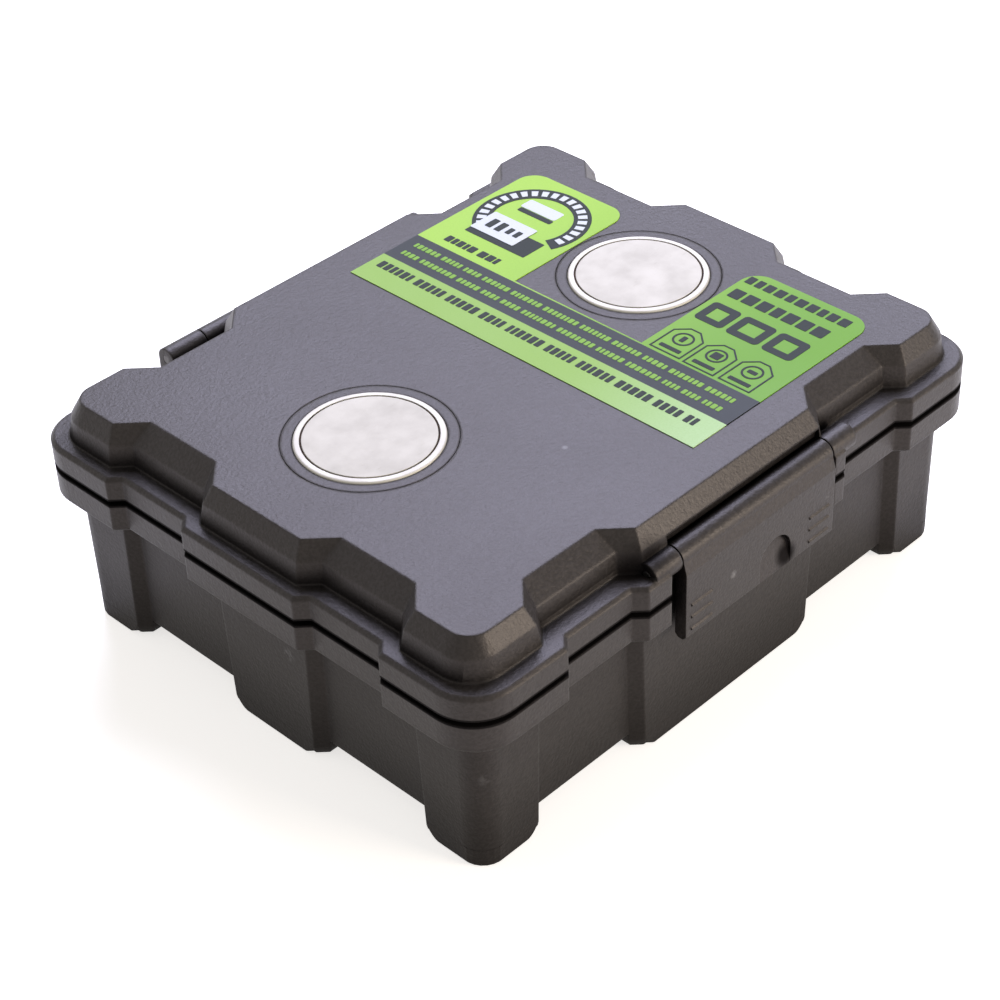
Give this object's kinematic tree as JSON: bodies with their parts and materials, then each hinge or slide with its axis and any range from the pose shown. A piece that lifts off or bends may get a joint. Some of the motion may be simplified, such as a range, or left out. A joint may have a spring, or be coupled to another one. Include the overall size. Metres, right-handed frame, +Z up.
{
  "type": "magnetic key holder box",
  "caption": "Moulded plastic stash box with a hinged, latched lid that clings to steel by round pot magnets let flush into the lid, with dividers and a seal inside.",
  "frame": {"origin": "on the ground below the middle of the closed box, latch and hinge included", "axes": "+X along the box's length, -Y the latch side, +Y the hinge side, +Z up through the lid"},
  "size_m": [0.159, 0.137, 0.0589],
  "materials": {
    "shell_plastic": "fine moulded grain",
    "divider_plastic": "satin",
    "seal_rubber": "matt",
    "pin_steel": "drawn",
    "plated_steel": "bright nickel plate",
    "plated_magnet": "satin nickel plate",
    "filler_resin": "cast resin",
    "screw_steel": "zinc plate",
    "printed_film": "printed film"
  },
  "bodies": {
    "base": {"base_shell": "shell_plastic", "hinge_pin": "pin_steel", "divider_long": "divider_plastic", "divider_cross_left": "divider_plastic", "divider_cross_right": "divider_plastic"},
    "lid": {"lid_shell": "shell_plastic", "lid_seal": "seal_rubber", "lid_sheet": "printed_film", "latch_pin": "pin_steel", "magnet_collar_near": "shell_plastic", "magnet_collar_far": "shell_plastic", "magnet_pot_near": "plated_steel", "magnet_pot_far": "plated_steel", "magnet_filler_near": "filler_resin", "magnet_filler_far": "filler_resin", "magnet_disc_near": "plated_magnet", "magnet_disc_far": "plated_magnet", "magnet_screws": "screw_steel", "magnet_washers": "screw_steel"},
    "flap": {"latch_flap": "shell_plastic"}
  },
  "joints": [
    {"name": "lid_hinge", "type": "hinge", "parent": "base", "child": "lid", "pos_m": [0, 0.06578, 0.0494], "axis": [-1, 0, 0], "range_deg": [0, 110]},
    {"name": "latch_hinge", "type": "hinge", "parent": "lid", "child": "flap", "pos_m": [0, -0.06442, 0.0493], "axis": [-1, 0, 0], "range_deg": [0, 130]}
  ]
}
